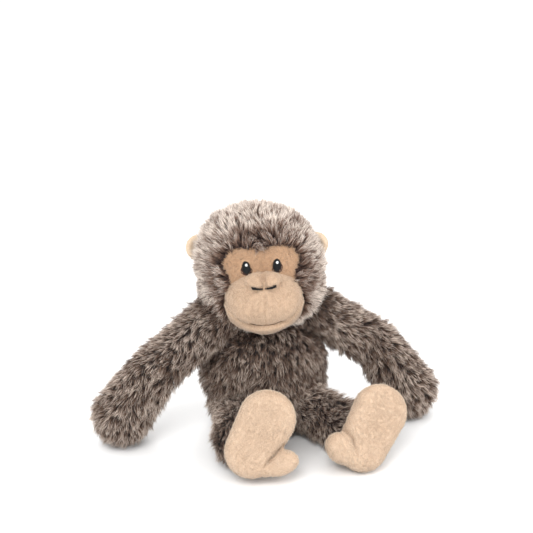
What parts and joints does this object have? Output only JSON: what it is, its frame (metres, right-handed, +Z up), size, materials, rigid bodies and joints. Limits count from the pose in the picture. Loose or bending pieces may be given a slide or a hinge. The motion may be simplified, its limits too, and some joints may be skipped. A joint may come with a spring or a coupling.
{
  "type": "stuffed monkey",
  "caption": "Sitting plush monkey with shaggy brown pile, a bare tan face, ears and feet, long floppy arms, short legs and embroidered eyes; the neck, arms, legs and feet move.",
  "frame": {"origin": "middle of the flat seat, on the surface that the toy sits on", "axes": "+Z up, the torso faces -Y, and the toy's own left side is at +X"},
  "size_m": [0.3495, 0.1919, 0.233],
  "materials": {
    "long_fur": "long frosted pile",
    "tan_plush": "short brushed pile",
    "black_thread": "satin stitch",
    "white_thread": "satin stitch",
    "stuffing": "loose polyester fibre",
    "pouch_cloth": "plain woven cloth",
    "pellets": "small translucent beads"
  },
  "bodies": {
    "torso": {"seat_pellet_bag": "pouch_cloth", "seat_pellets": "pellets", "torso_back_left_panel": "long_fur", "torso_back_right_panel": "long_fur", "torso_front_panel": "long_fur", "torso_stuffing": "stuffing"},
    "neck": {"neck_stuffing_plug": "stuffing"},
    "head": {"chin_panel": "tan_plush", "ear_left_back_panel": "tan_plush", "ear_left_front_panel": "tan_plush", "ear_right_back_panel": "tan_plush", "ear_right_front_panel": "tan_plush", "eye_glint_left": "white_thread", "eye_glint_right": "white_thread", "eye_left": "black_thread", "eye_right": "black_thread", "face_panel": "tan_plush", "head_left_panel": "long_fur", "head_right_panel": "long_fur", "head_stuffing": "stuffing", "muzzle_left_panel": "tan_plush", "muzzle_right_panel": "tan_plush", "muzzle_stuffing": "stuffing", "nostril_left": "black_thread", "nostril_right": "black_thread"},
    "shoulder_left": {"shoulder_left_seam": "long_fur"},
    "upper_arm_left": {"upper_arm_left_cover": "long_fur", "upper_arm_left_stuffing": "stuffing"},
    "forearm_left": {"forearm_left_cover": "long_fur", "forearm_left_stuffing": "stuffing", "hand_left_pellet_bag": "pouch_cloth"},
    "hip_left": {"hip_left_seam": "long_fur"},
    "leg_left": {"leg_left_cover": "long_fur", "leg_left_stuffing": "stuffing"},
    "foot_left": {"foot_left_pellet_bag": "pouch_cloth", "foot_left_sole_panel": "tan_plush", "foot_left_stuffing": "stuffing", "foot_left_top_panel": "tan_plush"},
    "shoulder_right": {"shoulder_right_seam": "long_fur"},
    "upper_arm_right": {"upper_arm_right_cover": "long_fur", "upper_arm_right_stuffing": "stuffing"},
    "forearm_right": {"forearm_right_cover": "long_fur", "forearm_right_stuffing": "stuffing", "hand_right_pellet_bag": "pouch_cloth"},
    "hip_right": {"hip_right_seam": "long_fur"},
    "leg_right": {"leg_right_cover": "long_fur", "leg_right_stuffing": "stuffing"},
    "foot_right": {"foot_right_pellet_bag": "pouch_cloth", "foot_right_sole_panel": "tan_plush", "foot_right_stuffing": "stuffing", "foot_right_top_panel": "tan_plush"}
  },
  "joints": [
    {"name": "neck_turn", "type": "hinge", "parent": "torso", "child": "neck", "pos_m": [0, 0.002, 0.117], "axis": [0, 0, 1], "range_deg": [-30, 30], "stiffness_Nm_per_rad": 0.3},
    {"name": "head_nod", "type": "hinge", "parent": "neck", "child": "head", "pos_m": [0, 0.002, 0.117], "axis": [0.9703, -0.2419, 0], "range_deg": [-12, 12], "stiffness_Nm_per_rad": 0.5},
    {"name": "shoulder_swing_right", "type": "hinge", "parent": "torso", "child": "shoulder_right", "pos_m": [-0.047, 0, 0.115], "axis": [0, 0, 1], "range_deg": [-20, 15]},
    {"name": "shoulder_raise_right", "type": "hinge", "parent": "shoulder_right", "child": "upper_arm_right", "pos_m": [-0.047, 0, 0.115], "axis": [-0.0174, 0.9998, 0], "range_deg": [-5, 55]},
    {"name": "elbow_right", "type": "hinge", "parent": "upper_arm_right", "child": "forearm_right", "pos_m": [-0.12183, -0.00131, 0.07687], "axis": [-0.0008, -0.9994, 0.0358], "range_deg": [-40, 12]},
    {"name": "hip_swing_right", "type": "hinge", "parent": "torso", "child": "hip_right", "pos_m": [-0.033, -0.032, 0.03], "axis": [0, 0, -1], "range_deg": [-6, 15]},
    {"name": "hip_raise_right", "type": "hinge", "parent": "hip_right", "child": "leg_right", "pos_m": [-0.033, -0.032, 0.03], "axis": [-0.9945, 0.1045, 0], "range_deg": [-10, 24]},
    {"name": "ankle_right", "type": "hinge", "parent": "leg_right", "child": "foot_right", "pos_m": [-0.0375, -0.07476, 0.03], "axis": [-0.9117, 0.3106, 0.2691], "range_deg": [-20, 10]},
    {"name": "shoulder_swing_left", "type": "hinge", "parent": "torso", "child": "shoulder_left", "pos_m": [0.047, 0, 0.115], "axis": [0, 0, -1], "range_deg": [-20, 15]},
    {"name": "shoulder_raise_left", "type": "hinge", "parent": "shoulder_left", "child": "upper_arm_left", "pos_m": [0.047, 0, 0.115], "axis": [-0.1392, -0.9903, 0], "range_deg": [-5, 55]},
    {"name": "elbow_left", "type": "hinge", "parent": "upper_arm_left", "child": "forearm_left", "pos_m": [0.12112, -0.01042, 0.07687], "axis": [0.0317, 0.9781, -0.2056], "range_deg": [-40, 12]},
    {"name": "hip_swing_left", "type": "hinge", "parent": "torso", "child": "hip_left", "pos_m": [0.033, -0.032, 0.03], "axis": [0, 0, 1], "range_deg": [-6, 15]},
    {"name": "hip_raise_left", "type": "hinge", "parent": "hip_left", "child": "leg_left", "pos_m": [0.033, -0.032, 0.03], "axis": [-0.809, -0.5878, 0], "range_deg": [-10, 24]},
    {"name": "ankle_left", "type": "hinge", "parent": "leg_left", "child": "foot_left", "pos_m": [0.06872, -0.08116, 0.02468], "axis": [-0.8568, 0.2801, 0.433], "range_deg": [-20, 10]}
  ]
}
